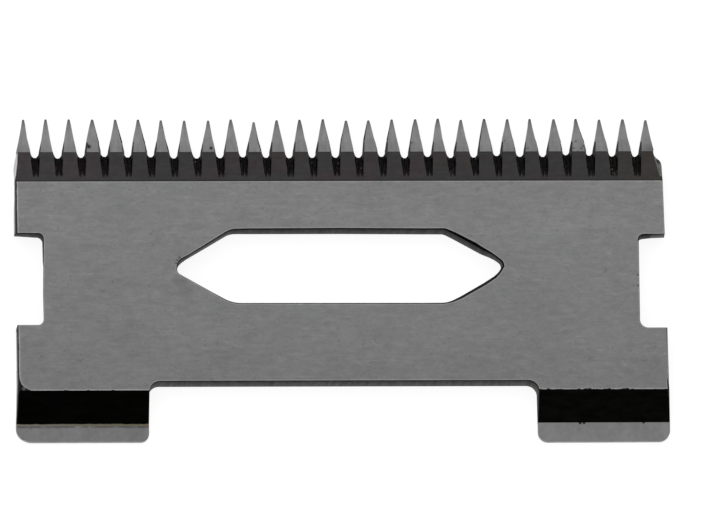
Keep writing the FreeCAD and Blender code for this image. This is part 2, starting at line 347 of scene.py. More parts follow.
# The width in millimetres of the dark rolled edge that some flanks keep at those three places.
DARK_FLANKS = {(3, "right"): (0.04, 0.05, 0.02), (4, "right"): (0.08, 0.08, 0.0),
               (5, "right"): (0.09, 0.07, 0.0), (6, "right"): (0.09, 0.03, 0.0),
               (10, "right"): (0.08, 0.06, 0.0), (13, "right"): (0.03, 0.04, 0.02),
               (14, "left"): (0.05, 0.05, 0.02), (15, "left"): (0.0, 0.08, 0.04),
               (16, "left"): (0.0, 0.06, 0.02), (17, "left"): (0.02, 0.04, 0.03),
               (20, "left"): (0.06, 0.06, 0.03), (24, "right"): (0.05, 0.05, 0.03)}
print(len(TOOTH_FORMS), "teeth, of which", len(DARK_FLANKS), "keep a dark edge")


# %% Draw the gaps and the teeth
def root_place(gap, across, up):
    """A place beside the middle of a gap's root."""
    x = FIRST_GAP_X + gap * PITCH
    rise = ROOT_RISES[gap - 1] / 100 if 1 <= gap < TOOTH_COUNT else 0.0
    return Vector((x + across, ROOT_Y + GRIND_SKEW * x + up + rise))


def ground_corner(place, rounding=0.0, roll=0.0):
    """A corner of a tooth, which was ground and so has no rim."""
    return corner(*place, rounding, roll, rim=0.0, wall="ground_flank")


def flank_corners(tooth, side, root, tip):
    """The corners along one flank, from the root up."""
    out_way = 1 if side == "right" else -1
    bulges = TOOTH_FORMS[tooth][2:5] if side == "left" else TOOTH_FORMS[tooth][5:8]
    rolls = DARK_FLANKS.get((tooth, side), (0.0, 0.0, 0.0))
    corners = []
    for along, bulge, roll in zip(BULGE_PLACES, bulges, rolls):
        place = root.lerp(tip, along)
        corners.append(ground_corner((place.x + out_way * bulge / 100, place.y), roll=roll))
    return corners


def tooth_corners():
    """The corners of the row from right to left, without the outer roots of its two ends."""
    corners = []
    for tooth in reversed(range(TOOTH_COUNT)):
        to_right, short = TOOTH_FORMS[tooth][:2]
        middle_x = FIRST_GAP_X + (tooth + 0.5) * PITCH + to_right / 100
        tip_y = TIP_Y + GRIND_SKEW * middle_x - short / 100
        tip_right = Vector((middle_x + TIP_WIDTH / 2, tip_y))
        tip_left = Vector((middle_x - TIP_WIDTH / 2, tip_y))
        right_root = root_place(tooth + 1, -ROOT_HALF_WIDTH, ROOT_RISE)
        left_root = root_place(tooth, ROOT_HALF_WIDTH, ROOT_RISE)
        left_bulge, right_bulge = TOOTH_FORMS[tooth][2], TOOTH_FORMS[tooth][5]
        if tooth < TOOTH_COUNT - 1:
            place = right_root + Vector((right_bulge * ROOT_FOLLOWS / 100, 0))
            corners.append(ground_corner(place, ROOT_SIDE_ROUND))
        corners.extend(flank_corners(tooth, "right", right_root, tip_right))
        corners.append(ground_corner(tip_right, TIP_ROUND))
        corners.append(ground_corner(tip_left, TIP_ROUND))
        corners.extend(reversed(flank_corners(tooth, "left", left_root, tip_left)))
        if tooth > 0:
            place = left_root - Vector((left_bulge * ROOT_FOLLOWS / 100, 0))
            corners.append(ground_corner(place, ROOT_SIDE_ROUND))
            corners.append(ground_corner(root_place(tooth, 0.0, ROOT_POINT), ROOT_POINT_ROUND))
    return corners


row = tooth_corners()
print(len(row), "corners in the row of", TOOTH_COUNT, "teeth")

# %% Draw the whole plate and its slot
# The ground ends of the row: x, y and rounding on the right, x, y and lean on the left.
RIGHT_END = [(19.715, 6.2, 0.0), (19.735, 6.66, 0.0), (19.757, 6.99, 0.0), (19.738, 7.24, 0.1),
             (19.656, 7.43, 0.1), (19.506, 7.57, 0.0), (19.36, 7.655, 0.0), (19.3, 7.8, 0.0)]
LEFT_END = [(-19.626, 7.89, 0.07), (-19.709, 7.55, 0.125), (-19.774, 7.23, 0.175),
            (-19.802, 6.96, 0.17), (-19.785, 6.65, 0.11)]
plate_outline = rounded_outline([
    corner(-FOOT_HALF_WIDTH, -9.64, 0.78, roll=PAD_ROLL),
    corner(-19.22, REAR_Y, 1.2, roll=PAD_ROLL),
    corner(-FOOT_INNER_X, REAR_Y, 0.5, roll=PAD_ROLL),
    corner(-FOOT_INNER_X, REAR_EDGE_Y, 0.65, roll=0.04),
    corner(FOOT_INNER_X, REAR_EDGE_Y, 0.65, roll=0.04),
    corner(FOOT_INNER_X, REAR_Y - 0.065, 0.6, roll=PAD_ROLL),
    corner(FOOT_HALF_WIDTH, REAR_Y - 0.055, 0.66, roll=PAD_ROLL),
    corner(FOOT_HALF_WIDTH, PAD_START_Y, roll=PAD_ROLL),
    corner(HALF_WIDTH + 0.02, SLOPE_START_Y, roll=0.12),
    corner(HALF_WIDTH, -6.65, roll=0.12),
    corner(HALF_WIDTH, -6.2, roll=0.03),
    corner(HALF_WIDTH, -5.6, roll=0.01),
    corner(HALF_WIDTH, -3.29, 0.03, roll=0.01),
    corner(18.09, -3.29, 0.5, roll=0.02),
    corner(18.12, -0.8, roll=0.02),
    corner(18.15, 1.6, roll=0.02),
    corner(18.15, 2.5, 0.42, roll=0.1, shift=(0, -0.03)),
    corner(18.65, 2.58, roll=0.1, shift=(0, -0.1)),
    corner(19.0, 2.615, roll=0.06, shift=(0, -0.11)),
    corner(FOOT_HALF_WIDTH, 2.65, roll=0.02, shift=(HALF_WIDTH - FOOT_HALF_WIDTH, -0.09)),
    corner(HALF_WIDTH, 2.9, roll=0.01),
    corner(HALF_WIDTH - 0.03, 5.9, roll=0.01),
    *[corner(x, y, rounding, roll=0.0, rim=0.0) for x, y, rounding in RIGHT_END],
    *row,
    *[corner(x, y, roll=0.0, lean=lean, rim=0.0, wall="end_flank") for x, y, lean in LEFT_END],
    corner(-19.75, 6.3, roll=0.0, rim=0.0, lean=0.03),
    corner(-19.76, 5.87, lean=0.02, roll=0.04),
    corner(-19.79, 5.1, lean=0.04, roll=0.06),
    corner(-19.83, 4.3, lean=0.075),
    corner(-19.84, 3.1, lean=0.085),
    corner(-19.83, 2.79, roll=0.05, shift=(0.055, -0.15)),
    corner(-18.55, 2.7, roll=0.05, shift=(0, -0.08)),
    corner(-18.12, 2.69, 0.36, roll=0.06, shift=(-0.02, -0.05)),
    corner(-18.1, 1.3, roll=0.03, shift=(-0.03, 0)),
    corner(-18.05, 0.7, roll=0.02, shift=(-0.09, 0)),
    corner(-18.05, -1.2, roll=0.02, shift=(-0.13, 0)),
    corner(-18.05, -3.05, 0.36, roll=0.02, shift=(-0.11, 0)),
    corner(-LEFT_LINE, -3.05, roll=0.02, shift=(LEFT_LEAN, 0)),
    corner(-LEFT_LINE, -3.4, shift=(LEFT_LEAN, 0), roll=0.05),
    corner(-LEFT_LINE, REAR_EDGE_Y, shift=(LEFT_LEAN, 0), roll=0.06),
    corner(-FOOT_HALF_WIDTH, PAD_START_Y, roll=0.05),
])

SLOT_REAR_Y = -1.695
SLOT_FRONT_Y = 2.9
# The uneven ends of the slot: x, y, the width of the rolled edge and the lean of the wall.
SLOT_LEFT_END = [
    (-9.88, 0.105, 0.035, 0.0), (-9.975, 0.2, 0.04, 0.0), (-10.015, 0.31, 0.045, 0.0),
    (-10.015, 0.43, 0.05, 0.0), (-9.985, 0.58, 0.06, 0.02), (-9.935, 0.75, 0.06, 0.02),
    (-9.87, 0.89, 0.06, 0.01), (-9.765, 1.015, 0.06, -0.01), (-9.61, 1.155, 0.05, -0.04),
    (-9.41, 1.3, 0.04, -0.075), (-7.97, 2.155, 0.06, -0.06)]
SLOT_RIGHT_END = [
    (6.9, 2.56, 0.12, 0.01), (8.1, 1.885, 0.15, 0.02), (8.5, 1.66, 0.13, 0.0),
    (9.158, 1.382, 0.08, -0.06), (9.41, 1.256, 0.06, -0.09), (9.593, 1.13, 0.06, -0.11),
    (9.73, 1.005, 0.06, -0.09), (9.79, 0.89, 0.07, -0.06), (9.8, 0.755, 0.08, -0.01),
    (9.77, 0.6, 0.12, 0.03), (9.69, 0.44, 0.14, 0.0), (9.605, 0.3, 0.14, 0.0),
    (9.5, 0.165, 0.15, 0.0), (9.27, -0.04, 0.175, 0.0), (8.65, -0.44, 0.2, 0.0),
    (7.16, -1.31, 0.18, 0.0)]


def slot_end(table):
    """The corners of one end of the slot."""
    return [corner(x, y, roll=roll, lean=lean) for x, y, roll, lean in table]


slot_outline = rounded_outline([
    *slot_end(SLOT_LEFT_END),
    corner(-6.737, SLOT_FRONT_Y, 1.2, lean=-0.05),
    corner(-5.5, SLOT_FRONT_Y - 0.005, lean=-0.02),
    corner(0.0, SLOT_FRONT_Y - 0.005),
    corner(5.0, 2.865),
    corner(6.33, 2.86, 0.6, roll=0.08),
    *slot_end(SLOT_RIGHT_END),
    corner(6.42, SLOT_REAR_Y, 1.6, roll=0.1),
    corner(5.0, SLOT_REAR_Y - 0.01, roll=0.1),
    corner(-6.72, SLOT_REAR_Y, 2.2, roll=0.08),
    corner(-8.2, -0.865, roll=0.035),
])
print(len(plate_outline), "points round the plate and", len(slot_outline), "round the slot")

# %% [markdown]
# ## The upper face in side view
# Seen from the side, the upper face is flat, falls away in front in two grinds, and drops behind
# down a pressed slope to the low pads of the feet. The mesh is first made flat, then cut across
# wherever this profile bends, and only then is every upper point moved to its height. That way
# the profile can be read off as one function.

# %% Height of the upper face
BEVEL_START_Y = 5.895
GRIND_LINE_Y = 7.955
GRIND_LINE_Z = 0.65
TIP_Z = 0.33
TIP_GRIND_RADIUS = 19.0
PAD_Z = 0.4
PAD_END_Z = 0.36


def between(value, start, end, low, high):
    """A straight line from low at start to high at end."""
    return low + (high - low) * (value - start) / (end - start)


def hollow(y):
    """How far the hollow grind of the tips lies under a straight line."""
    chord = TIP_Y - GRIND_LINE_Y
    off_middle = y - (TIP_Y + GRIND_LINE_Y) / 2
    sag = TIP_GRIND_RADIUS - math.sqrt(TIP_GRIND_RADIUS ** 2 - (chord / 2) ** 2)
    return sag - (TIP_GRIND_RADIUS - math.sqrt(TIP_GRIND_RADIUS ** 2 - off_middle ** 2))


def upper_height(x, y):
    """Height of the upper face above the comb, before the gaps are cut."""
    ground_y = y - GRIND_SKEW * x
    if ground_y > GRIND_LINE_Y:
        return between(ground_y, GRIND_LINE_Y, TIP_Y, GRIND_LINE_Z, TIP_Z) - hollow(ground_y)
    if ground_y > BEVEL_START_Y:
        return between(ground_y, BEVEL_START_Y, GRIND_LINE_Y, THICKNESS, GRIND_LINE_Z)
    if y > SLOPE_START_Y:
        return THICKNESS
    if y > PAD_START_Y:
        return between(y, SLOPE_START_Y, PAD_START_Y, THICKNESS, PAD_Z)
    return between(y, PAD_START_Y, REAR_Y, PAD_Z, PAD_END_Z)


for sample in (10.0, 8.0, 7.0, 0.0, -8.0, -10.0):
    print("height at y", sample, "is", round(upper_height(0.0, sample), 3), "mm")

# %% [markdown]
# ## Finishes by zone
# The steel is one piece, but each tool left its own finish, so the mesh carries a material slot
# for each zone. The faces get their slot while they are made, when it is still known what they
# are. The finishes themselves follow later, under the same names. Zones that were ground or
# pressed flat stay flat shaded, and the rolled edges and walls between them are smooth.

# %% Name the zones
FLAT_ZONES = ["ground_face", "ground_rim", "front_bevel", "pressed_slope", "foot_pad", "gap_trough",
              "gap_ridge", "end_ramp", "end_ramp_wall", "sliding_face", "relief"]
SMOOTH_ZONES = ["tip_grind", "punched_wall", "rolled_edge", "pad_edge", "ground_flank", "end_flank"]
ZONES = FLAT_ZONES + SMOOTH_ZONES
zone_number = {name: number for number, name in enumerate(ZONES)}
print(len(ZONES), "zones")

# %% Build the plate as a closed mesh
ROLL_STEPS = 3
SAME_PLACE = 1e-5


def inward(points):
    """For each point, the way into the metal, long enough to keep the wall's distance."""
    ways = []
    for index, item in enumerate(points):
        before = (item[CORNER] - points[index - 1][CORNER]).normalized()
        after = (points[(index + 1) % len(points)][CORNER] - item[CORNER]).normalized()
        side = Vector((-before.y, before.x))
        middle = (side + Vector((-after.y, after.x))).normalized()
        ways.append(middle / max(middle.dot(side), 0.5))
    return ways


def add_wall(mesh, points):
    """Adds the wall under an outline, its rolled edge and its rim. Returns the end loops."""
    ways = inward(points)
    loops = [[mesh.verts.new((*item[CORNER], 0.0)) for item in points]]
    for step in range(ROLL_STEPS + 2):
        angle = math.pi / 2 * min(step / ROLL_STEPS, 1.0)
        loop = []
        for item, way in zip(points, ways):
            inset = item[LEAN] + item[ROLL] * (1 - math.cos(angle))
            if step > ROLL_STEPS:
                inset += item[RIM]
            drop = item[ROLL] * (1 - math.sin(angle))
            moved = item[CORNER] + way * inset + item[SHIFT]
            loop.append(mesh.verts.new((*moved, THICKNESS - drop)))
        loops.append(loop)
    total = len(points)
    for row_number, (lower, upper) in enumerate(zip(loops, loops[1:])):
        for index in range(total):
            following = (index + 1) % total
            face = mesh.faces.new((lower[index], lower[following], upper[following], upper[index]))
            zone = "rolled_edge"
            if row_number == 0:
                zone = points[index][WALL]
            elif row_number > ROLL_STEPS:
                zone = "ground_rim"
            face.material_index = zone_number[zone]
    return loops[0], loops[-1]


def fill_between(mesh, loops, zone, upward):
    """Fills the plane between an outer loop and the loops inside it."""
    edges = []
    for loop in loops:
        for index, vert in enumerate(loop):
            edges.append(mesh.edges.get((vert, loop[(index + 1) % len(loop)])))
    way = Vector((0, 0, 1 if upward else -1))
    made = bmesh.ops.triangle_fill(mesh, use_beauty=True, edges=edges, normal=way)
    for item in made["geom"]:
        if isinstance(item, bmesh.types.BMFace):
            if item.normal.dot(way) < 0:
                item.normal_flip()
            item.material_index = zone_number[zone]


plate = bmesh.new()
plate_low, plate_high = add_wall(plate, plate_outline)
slot_low, slot_high = add_wall(plate, slot_outline)
fill_between(plate, [plate_high, slot_high], "ground_face", True)
fill_between(plate, [plate_low, slot_low], "sliding_face", False)
bmesh.ops.remove_doubles(plate, verts=plate.verts, dist=SAME_PLACE)
print("flat plate with", len(plate.faces), "faces")

# %% Cut the mesh across where the profile bends
HOLLOW_STRIPS = 6
LAST_STRIP = 0.1
UPPER_LAYER = THICKNESS - 0.3


def cut_across(mesh, y, skew):
    """Cuts every face that crosses a line, which may be askew to the row."""
    bmesh.ops.bisect_plane(mesh, geom=mesh.verts[:] + mesh.edges[:] + mesh.faces[:],
                           dist=SAME_PLACE, plane_co=(0, y, 0), plane_no=(-skew, 1, 0))


for strip in range(HOLLOW_STRIPS):
    cut_across(plate, between(strip, 0, HOLLOW_STRIPS, GRIND_LINE_Y, TIP_Y - LAST_STRIP), GRIND_SKEW)
for line_y in (BEVEL_START_Y, BEVEL_START_Y - GROUND_RIM):
    cut_across(plate, line_y, GRIND_SKEW)
for line_y in (SLOPE_START_Y + GROUND_RIM, SLOPE_START_Y, PAD_START_Y):
    cut_across(plate, line_y, 0.0)

upper_zones = {zone_number["ground_face"], zone_number["ground_rim"]}
side_zones = {zone_number["rolled_edge"], zone_number["punched_wall"]}
for face in plate.faces:
    middle = face.calc_center_median()
    ground_y = middle.y - GRIND_SKEW * middle.x
    if face.material_index in side_zones and middle.y < PAD_START_Y:
        face.material_index = zone_number["pad_edge"]
    if face.material_index not in upper_zones:
        continue
    zone = ""
    if ground_y > GRIND_LINE_Y:
        zone = "tip_grind"
    elif ground_y > BEVEL_START_Y:
        zone = "front_bevel"
    elif ground_y > BEVEL_START_Y - GROUND_RIM:
        zone = "ground_rim"
    elif PAD_START_Y < middle.y < SLOPE_START_Y:
        zone = "pressed_slope"
    elif SLOPE_START_Y < middle.y < SLOPE_START_Y + GROUND_RIM:
        zone = "ground_rim"
    elif middle.y < PAD_START_Y:
        zone = "foot_pad"
    if zone:
        face.material_index = zone_number[zone]
for vert in plate.verts:
    if vert.co.z > UPPER_LAYER:
        vert.co.z = upper_height(vert.co.x, vert.co.y) - (THICKNESS - vert.co.z)
print("profiled plate with", len(plate.faces), "faces")

# %% [markdown]
# ## The gaps behind the teeth
# Behind its root each gap runs out up the bevel. The grinding wheel leaves leaning walls and a
# floor that is a little higher in the middle, so at its end each groove splits in two. Cutting
# the plate with one wheel shape for each gap is how the real one is made, and a Boolean does it
# with clean edges. No two grooves end quite alike, so each wheel sits a hair higher or lower and
# to one side, and the last four sit a little further to the right.

# %% Make the cutters
RAMP_REAR_Y = 6.035
RAMP_BEND_Y = 8.05
RAMP_FRONT_Y = 8.6
RAMP_FRONT_Z = -0.06
RAMP_SLOPE = 0.7026
RAMP_ZERO_Y = 8.17
RAMP_SINK = 0.01
WALL_LEAN = 0.3
TROUGH_HALF = 0.172
TROUGH_FLARE = 0.03
RIDGE_HALF = 0.035
RIDGE_SIDE = 0.02
RIDGE_RISE = 0.05
REAR_TOP = 2.0
FRONT_TOP = 1.3


def add_wheel(mesh, x, lift, sections, zones, rise=RIDGE_RISE):
    """One grinding wheel shape that lies in a gap and climbs to the rear."""
    loops = []
    for y, half_left, half_right, lean, trough_z, top_z in sections:
        side = lean * (top_z - trough_z)
        ridge_z = trough_z + rise
        line = [(-half_left - side, top_z), (-half_left, trough_z),
                (-RIDGE_HALF - RIDGE_SIDE, trough_z), (-RIDGE_HALF, ridge_z),
                (RIDGE_HALF, ridge_z), (RIDGE_HALF + RIDGE_SIDE, trough_z),
                (half_right, trough_z), (half_right + side, top_z)]
        skewed_y = y + GRIND_SKEW * x
        loops.append([mesh.verts.new((x + across, skewed_y, z + lift)) for across, z in line])
    total = len(loops[0])
    for rear, front in zip(loops, loops[1:]):
        for index in range(total):
            following = (index + 1) % total
            face = mesh.faces.new((rear[index], rear[following], front[following], front[index]))
            face.material_index = zone_number[zones[min(index, total - 2)]]
    for end in (loops[0], loops[-1]):
        mesh.faces.new(end).material_index = zone_number[zones[0]]


def add_box(mesh, low, high, zone):
    """A plain box between two corners."""
    made = bmesh.ops.create_cube(mesh, size=1.0)
    for vert in made["verts"]:
        vert.co = Vector([(a + b) / 2 + (b - a) * c for a, b, c in zip(low, high, vert.co)])
    for face in {face for vert in made["verts"] for face in vert.link_faces}:
        face.material_index = zone_number[zone]


def ramp_height(y):
    """Height of a groove's floor."""
    return (RAMP_ZERO_Y - y) * RAMP_SLOPE - RAMP_SINK


RELIEF_FRONT_Y = 6.02
RELIEF_REAR_Y = -5.58
RELIEF_DEPTH = 0.2
RELIEF_REACH = 25
flared_half = TROUGH_HALF + TROUGH_FLARE
groove = [(RAMP_REAR_Y, TROUGH_HALF, TROUGH_HALF, WALL_LEAN, ramp_height(RAMP_REAR_Y), REAR_TOP),
          (RAMP_BEND_Y, TROUGH_HALF, TROUGH_HALF, WALL_LEAN, ramp_height(RAMP_BEND_Y), FRONT_TOP),
          (RAMP_FRONT_Y, flared_half, flared_half, WALL_LEAN, RAMP_FRONT_Z, FRONT_TOP)]
groove_zones = ["gap_trough"] * 3 + ["gap_ridge"] + ["gap_trough"] * 3
END_WHEEL_X = 19.74
END_LEAN = 0.5
END_HALF_RIGHT = 0.3
end_groove = [(RAMP_REAR_Y, 0.18, END_HALF_RIGHT, END_LEAN, ramp_height(RAMP_REAR_Y), REAR_TOP),
              (RAMP_BEND_Y, 0.24, END_HALF_RIGHT, END_LEAN, ramp_height(RAMP_BEND_Y), FRONT_TOP)]
end_zones = ["end_ramp_wall"] + ["end_ramp"] * 6
WHEEL_SHIFTS = {24: 0.04, 25: 0.07, 26: 0.04, 27: 0.05}
WOBBLE = 0.012
wobble = random.Random(5)
cutters = bmesh.new()
for gap in range(1, TOOTH_COUNT):
    wheel_x = FIRST_GAP_X + gap * PITCH + WHEEL_SHIFTS.get(gap, 0.0) + wobble.uniform(-WOBBLE, WOBBLE)
    add_wheel(cutters, wheel_x, wobble.uniform(-WOBBLE, WOBBLE), groove, groove_zones)
add_wheel(cutters, END_WHEEL_X, 0.0, end_groove, end_zones, rise=0.0)
add_box(cutters, (-RELIEF_REACH, RELIEF_REAR_Y, -1), (RELIEF_REACH, RELIEF_FRONT_Y, RELIEF_DEPTH),
        "relief")
bmesh.ops.recalc_face_normals(cutters, faces=cutters.faces)
print(TOOTH_COUNT, "wheel shapes and the relief under the plate")


# %% Cut the plate
SHARP_ANGLE = 32


def as_object(mesh, name):
    """Turns a mesh under construction into an object, with one material slot for each zone."""
    data = bpy.data.meshes.new(name)
    mesh.to_mesh(data)
    mesh.free()
    for zone in ZONES:
        data.materials.append(bpy.data.materials.get(zone) or bpy.data.materials.new(zone))
    made = bpy.data.objects.new(name, data)
    bpy.context.scene.collection.objects.link(made)
    return made


blank = as_object(plate, "blank")
tool = as_object(cutters, "tool")
cut = blank.modifiers.new("cut", "BOOLEAN")
cut.operation = "DIFFERENCE"
cut.solver = "EXACT"
cut.object = tool
bpy.context.view_layer.update()
cut_blank = blank.evaluated_get(bpy.context.evaluated_depsgraph_get())
blade_mesh = bpy.data.meshes.new_from_object(cut_blank)
blade_mesh.name = "blade"
blade_mesh.transform(Matrix.Scale(MM, 4))
blade = bpy.data.objects.new("blade", blade_mesh)
bpy.context.scene.collection.objects.link(blade)
for spent in (blank, tool):
    bpy.data.objects.remove(spent)
blade_mesh.set_sharp_from_angle(angle=math.radians(SHARP_ANGLE))
zone_names = [material.name for material in blade_mesh.materials]
for polygon in blade_mesh.polygons:
    polygon.use_smooth = zone_names[polygon.material_index] in SMOOTH_ZONES
print("blade with", len(blade_mesh.polygons), "faces and", len(zone_names), "zones")

# %% [markdown]
# ## More tools for finishes
# A tone is a number near one that makes a colour lighter or darker, and tones from several causes
# are multiplied. A mask is one where something lies and nought elsewhere. A spot is a small round
# mark at a known place. Coordinates along the blade are turned into millimetres first, so that
# every place in the finishes below can be read like the sizes above.

# %% Tones, masks and places
SPOT_CORE = 0.4


def millimetres(place, axis):
    """One of the coordinates, in millimetres."""
    parts = add_node("ShaderNodeSeparateXYZ", {"Vector": place})
    return arithmetic("MULTIPLY", parts.outputs[axis], 1 / MM)


def start_finish(zone, roughness, sheen=1.0):
    """Starts the finish of one zone. Returns its shader, its coordinates, and x and y in mm.

    Sheen is how bright the finish is where it is seen at a flat angle.
    """
    material = bpy.data.materials[zone]
    material.use_nodes = True
    shader = material.node_tree.nodes["Principled BSDF"]
    set_inputs(shader, {"Metallic": 1.0, "Roughness": roughness,
                        "Specular Tint": (sheen, sheen, sheen, 1.0)})
    place = add_node("ShaderNodeTexCoord", {}, material.node_tree).outputs["Object"]
    return shader, place, millimetres(place, "X"), millimetres(place, "Y")


def paint(shader, colour):
    """Gives a finish its colour."""
    set_inputs(shader, {"Base Color": colour})


def bumpy(shader, marks, depth):
    """Gives a finish fine relief, so many metres deep."""
    node = add_node("ShaderNodeBump", {"Height": marks, "Distance": depth, "Strength": 1.0})
    set_inputs(shader, {"Normal": node.outputs["Normal"]})


def product(*tones):
    """Multiplies any number of tones."""
    total = tones[0]
    for tone in tones[1:]:
        total = arithmetic("MULTIPLY", total, tone)
    return total


def tinted(tone, colour):
    """A colour made lighter or darker by a tone."""
    node = add_node("ShaderNodeMix", {"Factor": 1.0, "A": colour, "B": tone},
                    data_type="RGBA", blend_type="MULTIPLY")
    return node.outputs["Result"]


def swing(marks, amount):
    """A tone that noise swings to either side of one."""
    return fade(marks, 0.3, 0.7, 1 - amount, 1 + amount)


def frayed(value, marks, reach):
    """A coordinate that noise moves to either side, which frays an edge that is drawn with it."""
    return arithmetic("ADD", value, fade(marks, 0.3, 0.7, -reach, reach))


def inside(mask, tone):
    """A tone that holds inside a mask and is one outside it."""
    return fade(mask, 0.0, 1.0, 1.0, tone)


def window(value, start, full, drop, end):
    """A mask that rises from start to full and falls from drop to end."""
    return product(fade(value, start, full), falling(value, drop, end))


def spots(x, y, marks):
    """A mask over all the marks (x, y, radius), which fades towards the edge of each."""
    flat = add_node("ShaderNodeCombineXYZ", {"X": x, "Y": y}).outputs["Vector"]
    total = 0.0
    for mark_x, mark_y, radius in marks:
        away = add_node("ShaderNodeVectorMath", {0: flat, 1: (mark_x, mark_y, 0)}, operation="DISTANCE")
        total = either(total, falling(away.outputs["Value"], radius * SPOT_CORE, radius))
    return total


print("finish tools ready")

# %% [markdown]
# ## The ground faces
# The large upper face was ground on a belt that ran along the row. That leaves short bright and
# dark dashes, about a millimetre long and a fifth of that wide, over faint cloudy patches. Noise
# that is stretched along the row gives the dashes, coarser noise gives the patches, and a
# threshold on others picks out a few bright strokes, scratches and dark dots. At its rear the
# face ends in scale, which has bitten pieces out of its edge and off its left corner.

# %% Finish of the ground faces
TORN_MIDDLE = (-18.8, -6.25)


def ground_tone(place, strength):
    """The tone of ground steel, and the dashes in it."""
    dashes = noise(place, (1100, 5200, 300), detail=1.5)
    mottle = noise(place, (1800, 2800, 300), detail=2, offset=3.0)
    patches = noise(place, (230, 420, 100), offset=5.0)
    strokes = noise(turned(place, 25), (1300, 4500, 300), detail=2, offset=13.0)
    dots = noise(place, (3500, 3500, 300), detail=1, offset=15.0)
    scratches = noise(place, (500, 5500, 300), detail=2, offset=7.0)
    fine = noise(place, (5500, 8000, 300), detail=2, offset=11.0)
    tone = product(swing(dashes, 0.07 * strength), swing(mottle, 0.06 * strength),
                   swing(patches, 0.04 * strength), swing(fine, 0.05 * strength),
                   fade(strokes, 0.62, 0.72, 1.0, 1 + 0.1 * strength),
                   fade(dots, 0.68, 0.75, 1.0, 1 - 0.15 * strength),
                   fade(scratches, 0.64, 0.74, 1.0, 1 + 0.14 * strength))
    return tone, dashes


def ground_colour(place):
    """Steel grey with a slight cast that drifts between green and red."""
    cast = noise(place, (160, 260, 100), detail=2, offset=17.0)
    return blend(fade(cast, 0.35, 0.65), (0.994, 1.002, 1.0, 1.0), (1.008, 0.998, 1.0, 1.0))


def torn_edge(place, x, y):
    """Where scale cuts into the ground face at its rear, and the bright lip along its left corner."""
    wander = noise(place, (2300, 2300, 300), detail=4, offset=21.0)
    across, behind = [either(arithmetic("SUBTRACT", middle, here), 0.0)
                      for middle, here in zip(TORN_MIDDLE, (x, y))]
    both = add_node("ShaderNodeCombineXYZ", {"X": across, "Y": behind}).outputs["Vector"]
    away = add_node("ShaderNodeVectorMath", {0: both}, operation="LENGTH").outputs["Value"]
    left = frayed(away, wander, 0.02)
    patch = spots(x, y, [(-19.42, -7.0, 0.14)])
    scale = product(fade(left, 0.87, 0.9), inside(patch, 0.55))
    bite = arithmetic("SUBTRACT", y, fade(wander, 0.5, 0.68, 0.0, 0.07))
    lip = window(left, 0.78, 0.82, 0.86, 0.88)
    return either(scale, falling(bite, SLOPE_START_Y, SLOPE_START_Y + 0.02)), lip


def finish_ground(zone, front_level, rear_level, tone_strength=1.0, roughness=0.36):
    """A ground face that is one grey in front and another behind.

    The fade between the two greys is a painted reflection.
    """
    shader, place, x, y = start_finish(zone, roughness)
    tone, dashes = ground_tone(place, tone_strength)
    torn, lip = torn_edge(place, x, y)
    burrs = spots(x, y, [(-18.77, -7.06, 0.1), (-16.88, -7.03, 0.09), (12.05, -7.08, 0.08)])
    dark = spots(x, y, [(-9.86, 1.11, 0.11), (-10.06, 0.76, 0.1), (18.03, 0.0, 0.1),
                        (18.03, -0.66, 0.1), (-10.0, 0.95, 0.1)])
    # Painted shade of a slight dent, in two soft spots beside the lower left of the slot.
    dent_shade = spots(x, y, [(-9.87, -0.3, 0.6), (-9.55, -0.9, 0.6)])
    # The fade from the rear grey to the front grey is a painted reflection.
    tone = product(tone, fade(y, -7.0, 3.0, rear_level, front_level),
                   inside(either(burrs, lip), 1.35), inside(dark, 0.45), inside(dent_shade, 0.86))
    paint(shader, blend(torn, tinted(tone, ground_colour(place)), (0.014, 0.013, 0.013, 1)))
    set_inputs(shader, {"Roughness": fade(dashes, 0.3, 0.7, roughness - 0.05, roughness + 0.06)})
    bumpy(shader, dashes, 1.5e-6)


finish_ground("ground_face", 0.205, 0.181)
finish_ground("ground_rim", 0.27, 0.25)
finish_ground("sliding_face", 0.24, 0.24, 0.7, 0.3)
print("ground faces finished")

# %% [markdown]
# ## The tooth tips
# The tips were ground across the row by a wheel, so their marks run from root to tip. They are
# brightest in the middle, darker beside the grind line, and nearly as dark as the scale at the
# very points, where the steel is thin and round. A few teeth keep pits, deep or faint, and one
# tip and the right end of the row are painted darker.

# %% Finish of the tips
shader, place, x, y = start_finish("tip_grind", 0.38)
wheel_marks = noise(place, (5200, 900, 300))
clouds = noise(place, (900, 1100, 300), detail=2, offset=5.0)
grit = noise(place, (4200, 4200, 300), detail=2, offset=18.0)
pits = spots(x, y, [(-15.22, 8.3, 0.18), (-15.31, 8.44, 0.12), (-7.77, 8.2, 0.13)])
faint_pits = spots(x, y, [(14.4, 8.17, 0.1), (14.56, 8.62, 0.09), (14.88, 8.17, 0.1), (15.0, 8.32, 0.09),
                          (10.2, 8.68, 0.08), (11.6, 8.15, 0.09), (4.5, 8.55, 0.1)])
# One tip and the right end of the row are painted darker.
darker_patches = spots(x, y, [(-2.32, 9.75, 0.75), (19.0, 7.95, 0.6)])
tip_tone = product(fade(y, 7.95, 8.9, 0.188, 0.222), fade(y, 9.4, 9.92, 1.0, 0.67),
                   fade(y, 9.88, 10.06, 1.0, 0.6), fade(x, -19.0, 19.0, 1.06, 0.985),
                   swing(wheel_marks, 0.1), swing(clouds, 0.07), swing(grit, 0.06),
                   inside(pits, 0.12), inside(darker_patches, 0.75), inside(faint_pits, 0.5))
paint(shader, tinted(tip_tone, ground_colour(place)))
bumpy(shader, wheel_marks, 1.5e-6)
print("tips finished")
